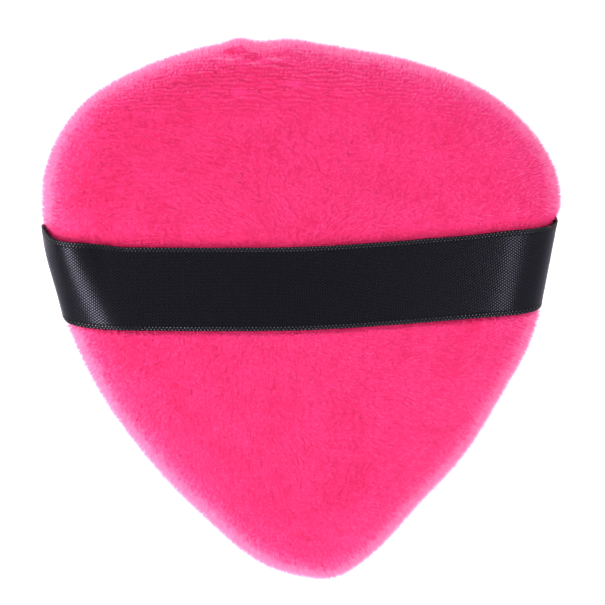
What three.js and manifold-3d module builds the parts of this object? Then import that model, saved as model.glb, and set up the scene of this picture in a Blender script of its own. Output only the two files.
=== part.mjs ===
// Powder puff: two velour panels sewn round a foam pad, with a satin ribbon across the back.
// Millimetres, +Z up. The puff lies on its powdering face with the ribbon on top, and the
// origin is on the table under the middle of the puff's box.
import * as THREE from 'three';
import { mergeVertices } from 'three/addons/utils/BufferGeometryUtils.js';
import Module from 'manifold-3d';

// Whole puff
const puffWidth = 80;
const puffLength = 83;
const seamHeight = 7.8;

// Velour panels: the edge rolls over a half ellipse, and the middle is crowned
const clothThickness = 1.7;
const edgeRollWidth = 9;
const backBulgeHeight = 2.7;
const backRollHeight = 4.7;
const backCrownHeight = 1.8;
const faceBulgeHeight = 2.5;
const faceCrownHeight = 1.2;
// How deep the table flattens the powdering face, which sets how high its edge rolls
const tablePress = 0.5;
const faceRollHeight = seamHeight + tablePress - faceBulgeHeight - faceCrownHeight;

// Seam: both panels turn their edges in and are stitched through these allowances
const seamAllowance = 4;
const allowanceThickness = 0.9;
const seamInset = 3.6;
const stitchPitch = 6;
const stitchHoleWidth = 2;
const threadDiameter = 0.5;
const turningGapLength = 26;
const closingPitch = 6;
const closingInset = 3.4;

// Ribbon
const ribbonWidth = 12.7;
const ribbonThickness = 0.35;
const ribbonSink = 0.55;
const leftRimHeight = 4.7;
const rightRimHeight = 6.4;

// Fits
const clearance = 0.3;
const overrun = 1;
const mergeDistance = 0.0001;

// Counts round the outline, over each roll and along the ribbon
const outlineSteps = 40;
const outlineSamples = 1200;
const rollSteps = 5;
const liningRollSteps = 4;
const crownRingShares = [0.55];
const ribbonTopSteps = 6;
const ribbonRollSteps = 6;
const threadSides = 5;
const holeSides = 3;

// The outline as shares of half the width and half the length, clockwise from the middle of
// the turning gap on the top edge
const outlineShares = [
  [-0.09, 0.992], [0.16, 0.966], [0.46, 0.908], [0.73, 0.792], [0.925, 0.612], [0.998, 0.42],
  [0.968, 0.19], [0.893, -0.105], [0.775, -0.32], [0.63, -0.545], [0.455, -0.73],
  [0.29, -0.898], [0.135, -0.988], [-0.03, -0.99], [-0.19, -0.925], [-0.36, -0.785],
  [-0.56, -0.595], [-0.755, -0.335], [-0.9, -0.055], [-0.988, 0.24], [-0.98, 0.52],
  [-0.845, 0.745], [-0.62, 0.887], [-0.35, 0.968],
];
// The crown's peak, and the ribbon's middle line across the back, in the same shares
const crownShare = [0, 0.12];
const ribbonLineShares = [
  [-0.66, 0.068], [-0.4, 0.0665], [-0.1, 0.067], [0.1, 0.073], [0.35, 0.089], [0.66, 0.113],
];
// Where, from the middle to the end of that line, the ribbon starts to turn square to the rim
const ribbonTurnShare = 0.3;

const wasm = await Module();
wasm.setup();

// A closed three.js geometry as a solid that can be cut and joined
function toSolid(geometry) {
  const bare = geometry.index ? geometry.clone() : geometry;
  bare.deleteAttribute('normal');
  bare.deleteAttribute('uv');
  const merged = mergeVertices(bare, mergeDistance);
  return new wasm.Manifold(new wasm.Mesh({
    numProp: 3,
    vertProperties: new Float32Array(merged.attributes.position.array),
    triVerts: new Uint32Array(merged.index.array),
  }));
}

function toGeometry(solid) {
  const mesh = solid.getMesh();
  const geometry = new THREE.BufferGeometry();
  geometry.setAttribute('position', new THREE.BufferAttribute(mesh.vertProperties, 3));
  geometry.setIndex(new THREE.BufferAttribute(mesh.triVerts, 1));
  geometry.computeVertexNormals();
  return geometry;
}

function unite(solids) {
  return solids.reduce((whole, solid) => whole.add(solid));
}

// Cuts that cross in cloth can set a scrap free, which falls away as from a real needle hole
function withoutScraps(solid) {
  return solid.decompose().reduce((most, piece) => (piece.volume() > most.volume() ? piece : most));
}

// A smooth closed curve through points in the plan
function closedCurve(points) {
  const curve = new THREE.CatmullRomCurve3(points, true, 'catmullrom', 0.5);
  curve.arcLengthDivisions = outlineSamples;
  return curve;
}

// Outline: the curve through the shares, scaled and centred so that its box is the puff's
function makeOutline() {
  const rough = outlineShares.map(
    ([x, y]) => new THREE.Vector3(x * puffWidth / 2, y * puffLength / 2, 0));
  const box = new THREE.Box3().setFromPoints(closedCurve(rough).getPoints(outlineSteps));
  const middle = box.getCenter(new THREE.Vector3());
  const size = box.getSize(new THREE.Vector3());
  return closedCurve(rough.map((point) => new THREE.Vector3(
    (point.x - middle.x) * puffWidth / size.x, (point.y - middle.y) * puffLength / size.y, 0)));
}

const outline = makeOutline();
const outlineLength = outline.getLength();
const crown = new THREE.Vector3(
  crownShare[0] * puffWidth / 2, crownShare[1] * puffLength / 2, 0);

// A place on the outline at one value of its curve: the point, its distance from the crown,
// and the level directions along the edge and out of it
function rimAt(value) {
  const point = outline.getPoint(value);
  const along = outline.getTangent(value).negate();
  const out = new THREE.Vector3(along.y, -along.x, 0);
  const ray = point.clone().sub(crown);
  return { point, along, out, reach: ray.length(), ray: ray.normalize() };
}

// Rims run counter-clockwise seen from above, closer together where the outline bends most
const rims = Array.from({ length: outlineSteps }, (_, i) => rimAt(1 - i / outlineSteps));

// One panel's skin, or the same skin shrunk by a wall: a half ellipse over the edge and a
// parabola over the middle. side is 1 for the back and -1 for the powdering face.
function makeSkin({ side, bulge, roll, crownHeight }, wall) {
  const width = edgeRollWidth - wall;
  const rise = roll - wall;
  const bulgeZ = seamHeight + side * bulge;
  return {
    // Angle at which the roll stands at a height over the seam
    angleAt: (overSeam) => Math.asin((overSeam - bulge) / rise),
    // Point of the roll: 0 is the widest line, a right angle is its top
    onRoll: (angle) => (reach) => {
      const inset = wall + width * (1 - Math.cos(angle));
      const spread = 1 - inset / reach;
      const lift = angle > 0 ? crownHeight * (1 - spread * spread) : 0;
      return [inset, bulgeZ + side * (rise * Math.sin(angle) + lift)];
    },
    // Point of the crown at a share of the way from its peak to the roll
    onCrown: (share) => (reach) => {
      const distance = (reach - edgeRollWidth) * share;
      const spread = distance / reach;
      return [reach - distance, bulgeZ + side * (rise + crownHeight * (1 - spread * spread))];
    },
  };
}

// Fixed point of a section: a distance in from the rim, at a height
const fixed = (inset, height) => () => [inset, height];

// A closed solid from a list of rings that runs from one pole to the other. side is 1 where
// the first pole faces up and -1 where it faces down.
function ringSolid(side, { first, rings, last }) {
  const positions = [];
  const triangles = [];
  const push = (rim, [inset, height]) => positions.push(
    rim.point.x - rim.ray.x * inset, rim.point.y - rim.ray.y * inset, height);
  rings.forEach((ring) => rims.forEach((rim) => push(rim, ring(rim.reach))));
  const poles = [first, last].map((ring) => {
    push(rims[0], ring(rims[0].reach));
    return positions.length / 3 - 1;
  });
  const at = (ring, step) => ring * outlineSteps + (step % outlineSteps);
  const face = (a, b, c) => triangles.push(...(side > 0 ? [a, b, c] : [a, c, b]));
  const end = rings.length - 1;
  for (let step = 0; step < outlineSteps; step += 1) {
    face(poles[0], at(0, step), at(0, step + 1));
    face(poles[1], at(end, step + 1), at(end, step));
    for (let ring = 0; ring < end; ring += 1) {
      face(at(ring, step), at(ring + 1, step), at(ring + 1, step + 1));
      face(at(ring, step), at(ring + 1, step + 1), at(ring, step + 1));
    }
  }
  const geometry = new THREE.BufferGeometry();
  geometry.setAttribute('position', new THREE.Float32BufferAttribute(positions, 3));
  geometry.setIndex(triangles);
  return toSolid(geometry);
}

// Angles from the top of a roll down to a lowest angle
function rollAngles(steps, lowest) {
  const top = Math.PI / 2;
  return Array.from({ length: steps + 1 }, (_, i) => top + (lowest - top) * i / steps);
}

// Heights over the seam plane of what lies in the seam
const allowanceNear = clearance / 2;
const allowanceFar = allowanceNear + allowanceThickness;
const threadLine = allowanceFar + clearance + threadDiameter / 2;
const threadFar = threadLine + threadDiameter / 2;

const back = { side: 1, bulge: backBulgeHeight, roll: backRollHeight, crownHeight: backCrownHeight };
const face = { side: -1, bulge: faceBulgeHeight, roll: faceRollHeight, crownHeight: faceCrownHeight };

// How far in from the rim the seam draws a panel, and where its allowance ends
function creaseInset(panel) {
  return edgeRollWidth * (1 - Math.cos(makeSkin(panel, 0).angleAt(allowanceNear)));
}
const allowanceEnd = Math.max(creaseInset(back), creaseInset(face)) + seamAllowance;

// A panel: its skin from the crown to the seam, the allowance turned in, and its lining back
function makePanel(panel) {
  const skin = makeSkin(panel, 0);
  const lining = makeSkin(panel, clothThickness);
  return ringSolid(panel.side, {
    first: skin.onCrown(0),
    rings: [
      ...crownRingShares.map(skin.onCrown),
      ...rollAngles(rollSteps, skin.angleAt(allowanceNear)).map(skin.onRoll),
      fixed(allowanceEnd, seamHeight + panel.side * allowanceNear),
      fixed(allowanceEnd, seamHeight + panel.side * allowanceFar),
      ...rollAngles(liningRollSteps, lining.angleAt(allowanceFar)).reverse().map(lining.onRoll),
    ],
    last: lining.onCrown(0),
  });
}

// The foam pad fills both linings and is pressed into a groove where the allowances lie
function makeFoam() {
  const wall = clothThickness + 2 * clearance;
  const grooveInset = allowanceEnd + clearance;
  const grooveHalf = threadFar + clearance;
  const upper = makeSkin(back, wall);
  const lower = makeSkin(face, wall);
  const half = (skin) => rollAngles(liningRollSteps, skin.angleAt(grooveHalf)).map(skin.onRoll);
  return ringSolid(1, {
    first: upper.onCrown(0),
    rings: [
      ...half(upper),
      fixed(grooveInset, seamHeight + grooveHalf),
      fixed(grooveInset, seamHeight - grooveHalf),
      ...half(lower).reverse(),
    ],
    last: lower.onCrown(0),
  });
}

// Where one side of the outline reaches a height of the plan
function rimAtHeight(side, height) {
  const misses = outline.getPoints(outlineSamples)
    .map((point) => (point.x * side > 0 ? Math.abs(point.y - height) : Infinity));
  return rimAt(misses.indexOf(Math.min(...misses)) / outlineSamples);
}

// Middle of the ribbon's thickness over the tips of the pile, which it presses down
const ribbonOffset = ribbonThickness / 2 - ribbonSink;

// Height of the middle of the ribbon over a place on the crown
function ribbonTop(x, y) {
  const ray = new THREE.Vector3(x, y, 0).sub(crown);
  const misses = rims.map((rim) => rim.ray.angleTo(ray));
  const { reach } = rims[misses.indexOf(Math.min(...misses))];
  const spread = ray.length() / reach;
  const crownLift = backCrownHeight * (1 - spread * spread);
  return seamHeight + backBulgeHeight + backRollHeight + crownLift + ribbonOffset;
}

// The ribbon's middle line over one edge, from the top of the roll to the end of the tail. It
// keeps a straight course on the cloth, so it slips along the rim as it goes down.
function ribbonEnd(side, rimHeight, from) {
  const rim = rimAtHeight(side, rimHeight);
  const up = rim.along.clone().multiplyScalar(side);
  const run = rim.point.clone().sub(from);
  const meanRoll = (edgeRollWidth + backRollHeight) / 2 + ribbonOffset;
  const flat = run.dot(rim.out) - edgeRollWidth;
  const slip = run.dot(up) / (flat + meanRoll * Math.PI / 2);
  const ruling = up.clone().multiplyScalar(ribbonWidth / 2 * Math.hypot(1, slip));
  const place = (inset, along, height, angle) => ({
    middle: rim.point.clone().addScaledVector(rim.out, -inset).addScaledVector(up, along)
      .setZ(height),
    ruling,
    angle,
  });
  const width = edgeRollWidth + ribbonOffset;
  const rise = backRollHeight + ribbonOffset;
  const lowest = -Math.asin(backBulgeHeight / rise);
  const stations = rollAngles(ribbonRollSteps, lowest).map((angle) => {
    const inset = edgeRollWidth - width * Math.cos(angle);
    const spread = 1 - Math.max(inset, 0) / rim.reach;
    const crownLift = angle > 0 ? backCrownHeight * (1 - spread * spread) : 0;
    const height = seamHeight + backBulgeHeight + rise * Math.sin(angle) + crownLift;
    return place(inset, -slip * meanRoll * angle, height, angle);
  });
  const seamAt = edgeRollWidth - width * Math.cos(lowest);
  const tail = (end) => place(
    end, -slip * meanRoll * lowest + slip * (end - seamAt), seamHeight, -Math.PI / 2);
  return { side, stations, tail, up };
}

// The ribbon's whole middle line from tail to tail, with the half width across it
function ribbonStations() {
  const points = ribbonLineShares.map(
    ([x, y]) => new THREE.Vector3(x * puffWidth / 2, y * puffLength / 2, 0));
  const line = new THREE.CatmullRomCurve3(points, false, 'catmullrom', 0.5);
  const left = ribbonEnd(-1, leftRimHeight, points[0]);
  const right = ribbonEnd(1, rightRimHeight, points[points.length - 1]);
  const top = Array.from({ length: ribbonTopSteps + 1 }, (_, i) => {
    const share = i / ribbonTopSteps;
    const middle = line.getPointAt(share);
    const along = line.getTangentAt(share);
    const across = new THREE.Vector3(-along.y, along.x, 0);
    const turn = THREE.MathUtils.smoothstep(Math.abs(2 * share - 1), ribbonTurnShare, 1);
    across.lerp(share < 0.5 ? left.up : right.up, turn).normalize();
    const square = Math.abs(along.x * across.y - along.y * across.x);
    return {
      middle: middle.setZ(ribbonTop(middle.x, middle.y)),
      ruling: across.multiplyScalar(ribbonWidth / 2 / square),
      angle: Math.PI / 2,
    };
  });
  return { left, right, top };
}

// A strip with a flat section through a list of stations. below and above are its faces'
// distances from the middle line.
function stripSolid(stations, below, above, extraWidth) {
  const positions = [];
  const triangles = [];
  stations.forEach(({ middle, ruling }, i) => {
    const before = stations[Math.max(i - 1, 0)].middle;
    const after = stations[Math.min(i + 1, stations.length - 1)].middle;
    const up = after.clone().sub(before).cross(ruling).normalize();
    const half = ruling.clone().setLength(ruling.length() + extraWidth);
    [[-1, -below], [1, -below], [1, above], [-1, above]].forEach(([across, over]) => {
      const corner = middle.clone().addScaledVector(half, across).addScaledVector(up, over);
      positions.push(...corner.toArray());
    });
  });
  const at = (station, corner) => station * 4 + (corner % 4);
  for (let i = 0; i < stations.length - 1; i += 1) {
    for (let corner = 0; corner < 4; corner += 1) {
      triangles.push(at(i, corner), at(i + 1, corner + 1), at(i + 1, corner));
      triangles.push(at(i, corner), at(i, corner + 1), at(i + 1, corner + 1));
    }
  }
  const end = stations.length - 1;
  triangles.push(at(0, 0), at(0, 2), at(0, 1), at(0, 0), at(0, 3), at(0, 2));
  triangles.push(at(end, 0), at(end, 1), at(end, 2), at(end, 0), at(end, 2), at(end, 3));
  const geometry = new THREE.BufferGeometry();
  geometry.setAttribute('position', new THREE.Float32BufferAttribute(positions, 3));
  geometry.setIndex(triangles);
  return toSolid(geometry);
}

// The ribbon, the room that its tails need between the allowances, and the track that it
// presses into the pile of the back
function makeRibbon() {
  const { left, right, top } = ribbonStations();
  const end = allowanceEnd - clearance;
  const half = ribbonThickness / 2;
  const room = half + clearance;
  const over = [...left.stations].reverse().concat(top, right.stations);
  const tails = [left, right].map(({ side, stations, tail }) => {
    const line = [...stations.filter(({ angle }) => angle < 0), tail(end + room)];
    return stripSolid(side > 0 ? line : line.reverse(), room, room, clearance);
  });
  return {
    ribbon: stripSolid([left.tail(end), ...over, right.tail(end)], half, half, 0),
    tailRoom: unite(tails),
    track: stripSolid(over, room, room + overrun, clearance),
  };
}

// Places of evenly spaced stitches along a stretch of the outline, at a distance in from it
function stitchPlaces(from, length, pitch, inset) {
  const count = Math.round(length / pitch);
  const place = (step) => {
    const share = (from + step / count * length) / outlineLength;
    const rim = rimAt(outline.getUtoTmapping(share < 0 ? share + 1 : share));
    return rim.point.clone().addScaledVector(rim.ray, -inset);
  };
  return {
    ends: Array.from({ length: count + 1 }, (_, i) => place(i)),
    middles: Array.from({ length: count }, (_, i) => place(i + 0.5)),
  };
}

const machineStitches = stitchPlaces(
  turningGapLength / 2, outlineLength - turningGapLength, stitchPitch, seamInset);
const closingStitches = stitchPlaces(
  -turningGapLength / 2, turningGapLength, closingPitch, closingInset);

// Holes that the needle leaves through both allowances
function makeHoles() {
  const height = 2 * (allowanceFar + clearance);
  const radius = stitchHoleWidth / 2;
  return unite([...machineStitches.middles, ...closingStitches.middles].map(({ x, y }) => {
    const hole = new THREE.CylinderGeometry(radius, radius, height, holeSides);
    hole.rotateX(Math.PI / 2).rotateZ(Math.atan2(y - crown.y, x - crown.x) + Math.PI / 2);
    return toSolid(hole.translate(x, y, seamHeight));
  }));
}

// A round length of thread between two places
function threadBar(start, end, reachPast) {
  const run = end.clone().sub(start);
  const bar = new THREE.CylinderGeometry(
    threadDiameter / 2, threadDiameter / 2, run.length() + 2 * reachPast, threadSides);
  bar.applyQuaternion(new THREE.Quaternion().setFromUnitVectors(
    new THREE.Vector3(0, 1, 0), run.clone().normalize()));
  const middle = start.clone().add(end).multiplyScalar(1 / 2);
  return toSolid(bar.translate(middle.x, middle.y, middle.z));
}

const atHeight = (place, height) => place.clone().setZ(height);

// One thread of the machine seam: it runs along its panel's allowance, and at each stitch a
// loop of it goes into the hole, where it locks with the other thread
function makeSeamThread(side) {
  const runHeight = seamHeight + side * threadLine;
  const lockHeight = seamHeight + side * allowanceNear;
  const section = new THREE.Shape(Array.from({ length: threadSides }, (_, i) => {
    const angle = 2 * Math.PI * i / threadSides;
    return new THREE.Vector2(
      threadDiameter / 2 * Math.cos(angle), threadDiameter / 2 * Math.sin(angle));
  }));
  const path = new THREE.CatmullRomCurve3(
    machineStitches.ends.map((place) => atHeight(place, runHeight)), false, 'catmullrom', 0.5);
  const run = new THREE.ExtrudeGeometry(
    section, { extrudePath: path, steps: 2 * machineStitches.middles.length });
  return unite([toSolid(run), ...machineStitches.middles.map(
    (place) => threadBar(atHeight(place, runHeight), atHeight(place, lockHeight), 0))]);
}

// The hand thread of the turning gap: a running stitch that goes through both allowances
function makeClosingThread() {
  const heights = [seamHeight + threadLine, seamHeight - threadLine];
  const reachPast = threadDiameter / 2;
  const places = closingStitches.middles;
  const legs = places.map(
    (place) => threadBar(atHeight(place, heights[0]), atHeight(place, heights[1]), reachPast));
  const runs = places.slice(1).map((place, i) => threadBar(
    atHeight(places[i], heights[i % 2]), atHeight(place, heights[i % 2]), 0));
  return unite([...legs, ...runs]);
}

// What the puff stands on: the powdering face is pressed flat up to the table
function makeTable() {
  const depth = tablePress + overrun;
  const table = new THREE.BoxGeometry(puffWidth + overrun, puffLength + overrun, depth);
  return toSolid(table.translate(0, 0, -depth / 2));
}

const puff = new THREE.Group();

function addPiece(name, solid, colour, roughness) {
  const material = new THREE.MeshStandardMaterial({ color: colour, roughness, metalness: 0 });
  const mesh = new THREE.Mesh(toGeometry(solid), material);
  mesh.name = name;
  puff.add(mesh);
}

const velourColour = 0xfb3c7c;
const foamColour = 0xf3ead6;
const satinColour = 0x1b1a1f;
const threadColour = 0xe6447f;

const holes = makeHoles();
const { ribbon, tailRoom, track } = makeRibbon();
const backCover = makePanel(back).subtract(track).subtract(tailRoom).subtract(holes);
const faceCover = makePanel(face).subtract(tailRoom).subtract(holes).subtract(makeTable());
const fingerStrap = ribbon.subtract(holes);

addPiece('back_cover', withoutScraps(backCover), velourColour, 0.95);
addPiece('face_cover', withoutScraps(faceCover), velourColour, 0.95);
addPiece('foam_core', makeFoam(), foamColour, 0.9);
addPiece('finger_strap', withoutScraps(fingerStrap), satinColour, 0.35);
addPiece('seam_needle_thread', makeSeamThread(1), threadColour, 0.6);
addPiece('seam_bobbin_thread', makeSeamThread(-1), threadColour, 0.6);
addPiece('closing_thread', makeClosingThread(), threadColour, 0.6);

export default puff;
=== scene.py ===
import math

import bpy
import numpy as np
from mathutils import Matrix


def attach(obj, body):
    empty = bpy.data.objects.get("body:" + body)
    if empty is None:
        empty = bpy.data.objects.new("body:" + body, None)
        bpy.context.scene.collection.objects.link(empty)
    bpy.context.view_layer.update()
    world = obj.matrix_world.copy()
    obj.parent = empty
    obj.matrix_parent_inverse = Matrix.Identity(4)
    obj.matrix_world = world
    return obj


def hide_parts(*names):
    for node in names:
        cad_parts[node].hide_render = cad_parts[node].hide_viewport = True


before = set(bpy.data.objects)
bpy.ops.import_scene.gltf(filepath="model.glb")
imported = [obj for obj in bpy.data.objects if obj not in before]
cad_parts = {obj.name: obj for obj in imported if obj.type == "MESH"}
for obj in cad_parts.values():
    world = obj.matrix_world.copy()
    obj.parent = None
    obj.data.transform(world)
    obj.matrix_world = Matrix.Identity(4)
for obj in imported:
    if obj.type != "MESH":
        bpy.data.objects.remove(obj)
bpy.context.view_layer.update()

# A powder puff seen from straight above: hot pink velour on both sides, a black satin ribbon
# across the back. Shapes are worked out in millimetres and written to the meshes in metres.

mm = 0.001
up = np.array([0.0, 0.0, 1.0])
print("frame: loaded, nodes", len(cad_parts))


# Form of the puff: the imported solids' own, with the rim's outline fitted closer to the photo

form = {
    "width": 80.0,
    "length": 83.0,
    "seamHeight": 7.8,
    "edgeRollWidth": 9.0,        # how far in from the rim the edge rolls over
    "crownShare": (0.0, 0.12),   # the crown's peak, in half widths and half lengths
    "creaseOverSeam": 0.15,      # how near the seam each panel's skin goes
    "outlineSteps": 2400,        # steps of the spline that the outline is measured on
    "columns": 620,              # steps round the outline
    "crownRings": 78,            # steps from the crown's peak to the roll
    "rollRings": 42,             # steps over the roll down to the seam
}
backPanel = {"side": 1, "bulge": 2.7, "roll": 4.7, "crownHeight": 1.8}
facePanel = {"side": -1, "bulge": 2.5, "roll": 4.6, "crownHeight": 1.2}

# The outline in half widths and half lengths, clockwise from the middle of the turning gap
outlineShares = [
    (-0.09, 0.997), (0.16, 0.97), (0.458, 0.911), (0.73, 0.799), (0.926, 0.619), (1.005, 0.426),
    (0.971, 0.194), (0.898, -0.104), (0.781, -0.321), (0.634, -0.547), (0.458, -0.733),
    (0.294, -0.904), (0.139, -1.003), (-0.031, -0.994), (-0.192, -0.927), (-0.363, -0.787),
    (-0.561, -0.594), (-0.761, -0.335), (-0.903, -0.052), (-0.986, 0.245), (-0.982, 0.526),
    (-0.847, 0.752), (-0.619, 0.89), (-0.351, 0.974),
]
halfSize = np.array([form["width"], form["length"]]) / 2
crownXY = np.array(form["crownShare"]) * halfSize


def spline(points, values, closed):
    # Catmull-Rom: between two points a cubic whose end slopes are half the step between
    # their neighbours. values run from 0 to 1 over the whole curve.
    points = np.asarray(points, float)
    count = len(points)
    if closed:
        place = np.mod(values, 1.0) * count
        padded = points[np.arange(-1, count + 2) % count]
    else:
        place = np.clip(values, 0.0, 1.0) * (count - 1)
        first = 2 * points[0] - points[1]
        last = 2 * points[-1] - points[-2]
        padded = np.vstack([first, points, last])
    segment = np.minimum(place.astype(int), len(padded) - 4)
    t = (place - segment)[:, None]
    before, start, end, after = (padded[segment + step] for step in range(4))
    return 0.5 * (2 * start + (end - before) * t + (2 * before - 5 * start + 4 * end - after) * t**2
                  + (3 * start - before - 3 * end + after) * t**3)


def unit(vectors):
    return vectors / np.maximum(np.linalg.norm(vectors, axis=-1, keepdims=True), 1e-12)


def smooth(share):
    # Smooth step: 3 x^2 - 2 x^3
    return share * share * (3 - 2 * share)


def lengthAlong(points):
    # Length of a line from its first point to each of its points
    return np.concatenate([[0.0], np.cumsum(np.linalg.norm(np.diff(points, axis=0), axis=1))])


def pointsAt(lengths, run, points):
    return np.stack([np.interp(lengths, run, points[:, axis]) for axis in (0, 1)], 1)


# The outline is walked anticlockwise, and the loop repeats its first point
outlineValues = np.linspace(0.0, 1.0, form["outlineSteps"] + 1)[:-1]
outlinePoints = spline(np.array(outlineShares) * halfSize, outlineValues, True)[::-1]
outlineLoop = np.vstack([outlinePoints, outlinePoints[:1]])
outlineRun = lengthAlong(outlineLoop)


def reachAt(x, y):
    # Reach: distance from the crown's peak to the rim in the direction of a place in the plan
    rays = outlinePoints - crownXY
    angles = np.unwrap(np.arctan2(rays[:, 1], rays[:, 0]))
    order = np.argsort(np.mod(angles, 2 * np.pi))
    return np.interp(np.mod(np.arctan2(y - crownXY[1], x - crownXY[0]), 2 * np.pi),
                     np.mod(angles, 2 * np.pi)[order], np.linalg.norm(rays, axis=1)[order],
                     period=2 * np.pi)


def panelGrid(panel):
    # Panel: each column runs along a ray from the crown's peak to the rim. The crown is a
    # parabola, z = bulge + roll + crown (1 - (q / R)^2), and the edge is half an ellipse,
    # inset = e (1 - cos a), z = bulge + roll sin a, from a right angle down to the seam.
    columns = form["columns"]
    run = np.arange(columns) / columns * outlineRun[-1]
    rim = pointsAt(run, outlineRun, outlineLoop)
    ray = rim - crownXY
    reach = np.linalg.norm(ray, axis=1)
    ray = ray / reach[:, None]
    edge = form["edgeRollWidth"]
    lowest = math.asin((form["creaseOverSeam"] - panel["bulge"]) / panel["roll"])
    shares = np.linspace(0.0, 1.0, form["crownRings"] + 1)[:, None]
    angles = np.linspace(math.pi / 2, lowest, form["rollRings"] + 1)[1:, None]
    crownQ = (reach - edge) * shares
    rollQ = reach - edge * (1 - np.cos(angles))
    distance = np.vstack([crownQ, rollQ])
    sine = np.vstack([np.ones_like(crownQ), np.sin(angles) * np.ones_like(rollQ)])
    lift = np.where(sine > 0, panel["crownHeight"] * (1 - (distance / reach) ** 2), 0.0)
    height = panel["bulge"] + panel["roll"] * sine + lift
    plan = crownXY + ray[None] * distance[:, :, None]
    return np.dstack([plan, form["seamHeight"] + panel["side"] * height])


def gridNormals(grid, side):
    # Normals: cross product of the steps round the outline and from the peak to the seam
    around = np.roll(grid, -1, 1) - np.roll(grid, 1, 1)
    outward = np.gradient(grid, axis=0)
    normals = unit(np.cross(outward, around)) * side
    normals[0] = [0.0, 0.0, side]
    return normals


# Noise that needs no textures: whole lattices hashed from their cell numbers

def hashed(cells, seed):
    # Hash: three cell numbers and a seed are mixed into one number from 0 to 1
    cells = cells.astype(np.int64)
    mixed = (cells[..., 0] * 73856093) ^ (cells[..., 1] * 19349663) ^ (cells[..., 2] * 83492791)
    mixed = (mixed ^ (seed * 2654435761)) & 0xFFFFFFFF
    mixed = ((mixed ^ (mixed >> 15)) * 2246822519) & 0xFFFFFFFF
    mixed = ((mixed ^ (mixed >> 13)) * 3266489917) & 0xFFFFFFFF
    return ((mixed ^ (mixed >> 16)) & 0xFFFFFFFF) / 4294967296.0


corners = np.array([(i, j, k) for i in (0, 1) for j in (0, 1) for k in (0, 1)])
neighbours = np.array([(i, j, k) for i in (-1, 0, 1) for j in (-1, 0, 1) for k in (-1, 0, 1)])


def softNoise(points, size, seed):
    # Soft noise: hashed corners of a cell, blended by the smooth step of the place in it
    scaled = points / np.asarray(size)
    cells = np.floor(scaled)
    inside = scaled - cells
    inside = smooth(inside)
    total = np.zeros(points.shape[:-1])
    for corner in corners:
        weight = np.prod(np.where(corner, inside, 1 - inside), axis=-1)
        total += weight * hashed(cells + corner, seed)
    return total


def tufts(points, size, seed):
    # Tufts: every cell holds one centre. A place belongs to the nearest one, and its spread
    # is its distance from it in cells.
    scaled = points / np.asarray(size)
    cells = np.floor(scaled)
    nearest = np.full(points.shape[:-1], 9.0)
    centre = np.zeros_like(points)
    for step in neighbours:
        cell = cells + step
        jitter = np.stack([hashed(cell, seed + axis) for axis in range(3)], -1)
        candidate = cell + 0.15 + 0.7 * jitter
        distance = np.linalg.norm(candidate - scaled, axis=-1)
        closer = distance < nearest
        nearest = np.where(closer, distance, nearest)
        centre = np.where(closer[..., None], candidate, centre)
    return centre * np.asarray(size), nearest


# Ribbon: where its middle line runs, with straight rulings across it

ribbon = {
    "width": 12.7,
    "thickness": 0.32,
    "sink": 0.36,                # how deep its middle lies under the tips of the pile
    "rimHeights": {-1: 4.7, 1: 6.8},   # where it crosses the left and the right rim
    "turnShare": 0.3,            # from here to the line's end it turns square to the rim
    "lineShares": [(-0.66, 0.068), (-0.4, 0.0665), (-0.1, 0.067), (0.1, 0.073),
                   (0.35, 0.089), (0.66, 0.113)],
    "topSteps": 520,
    "rollSteps": 120,
    "tailSteps": 12,
    "tailInset": 5.1,
    "easeSteps": 16,
    "pressStretch": (-8.0, 21.0),      # the stretch of the length where it can press the pile
}


def topHeight(x, y):
    # Height of the tips of the back's pile over a place in the plan
    reach = reachAt(x, y)
    distance = np.hypot(x - crownXY[0], y - crownXY[1])
    inset = np.clip((reach - distance) / form["edgeRollWidth"], 0.0, 1.0)
    sine = np.sqrt(1 - (1 - inset) ** 2)
    crownLift = backPanel["crownHeight"] * (1 - (distance / reach) ** 2)
    return form["seamHeight"] + backPanel["bulge"] + backPanel["roll"] * sine + crownLift


def ribbonEnd(side, start):
    # Over a rim: the roll's half ellipse in the plane square to the rim, slipping along the
    # rim as it goes down, then straight into the seam
    offset = -ribbon["sink"]
    onSide = np.where(outlinePoints[:, 0] * side > 0,
                      np.abs(outlinePoints[:, 1] - ribbon["rimHeights"][side]), 1e9)
    at = int(np.argmin(onSide))
    rim = outlinePoints[at]
    along = unit(outlinePoints[(at + 1) % len(outlinePoints)] - outlinePoints[at - 1])
    out = np.array([along[1], -along[0]])
    upward = along * side
    edge, roll, bulge = form["edgeRollWidth"], backPanel["roll"], backPanel["bulge"]
    run = rim - start
    meanRoll = (edge + roll) / 2 + offset
    slip = run @ upward / (run @ out - edge + meanRoll * math.pi / 2)
    width, rise = edge + offset, roll + offset
    lowest = -math.asin(bulge / rise)
    angle = np.linspace(math.pi / 2, lowest, ribbon["rollSteps"] + 1)
    inset = edge - width * np.cos(angle)
    reach = np.linalg.norm(rim - crownXY)
    spread = 1 - np.maximum(inset, 0.0) / reach
    lift = np.where(angle > 0, backPanel["crownHeight"] * (1 - spread**2), 0.0)
    height = form["seamHeight"] + bulge + rise * np.sin(angle) + lift
    slide = -slip * meanRoll * angle
    tailInset = np.linspace(inset[-1], ribbon["tailInset"], ribbon["tailSteps"] + 1)[1:]
    tailSlide = slide[-1] + slip * (tailInset - inset[-1])
    inset = np.concatenate([inset, tailInset])
    slide = np.concatenate([slide, tailSlide])
    height = np.concatenate([height, np.full(len(tailInset), form["seamHeight"])])
    plan = rim - out * inset[:, None] + upward * slide[:, None]
    ruling = upward * ribbon["width"] / 2 * math.hypot(1, slip)
    rulings = np.tile(np.append(ruling, 0.0), (len(inset), 1))
    return np.column_stack([plan, height]), rulings, upward


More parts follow.
